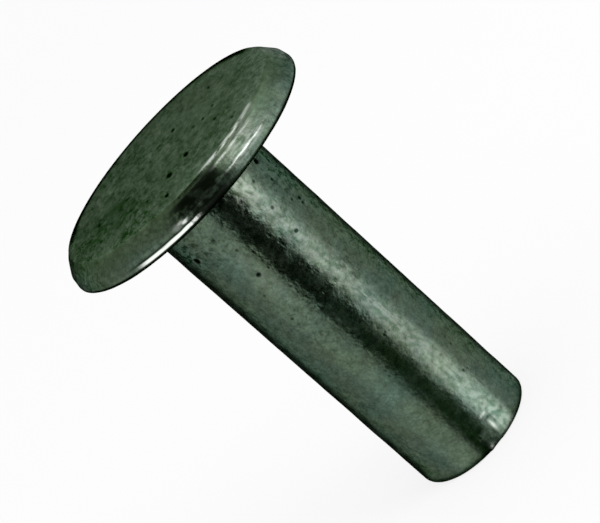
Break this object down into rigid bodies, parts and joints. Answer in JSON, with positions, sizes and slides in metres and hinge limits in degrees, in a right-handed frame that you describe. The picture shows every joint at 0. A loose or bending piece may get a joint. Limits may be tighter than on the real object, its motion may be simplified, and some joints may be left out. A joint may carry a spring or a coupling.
{
  "type": "brake lining rivet",
  "caption": "Semi-tubular steel rivet with a flat round head, pushed through a brake lining and its shoe and clinched by rolling its hollow tail over.",
  "frame": {"origin": "centre of the tail end, on the surface that the rivet stands on", "axes": "+Z runs along the rivet's axis from its tail to its head"},
  "size_m": [0.0174, 0.0174, 0.0252],
  "materials": {
    "rivet_steel": "as-headed steel with a thin dull grey-green surface film, pitted and lightly scratched"
  },
  "bodies": {
    "root": {"rivet": "rivet_steel"}
  },
  "joints": []
}
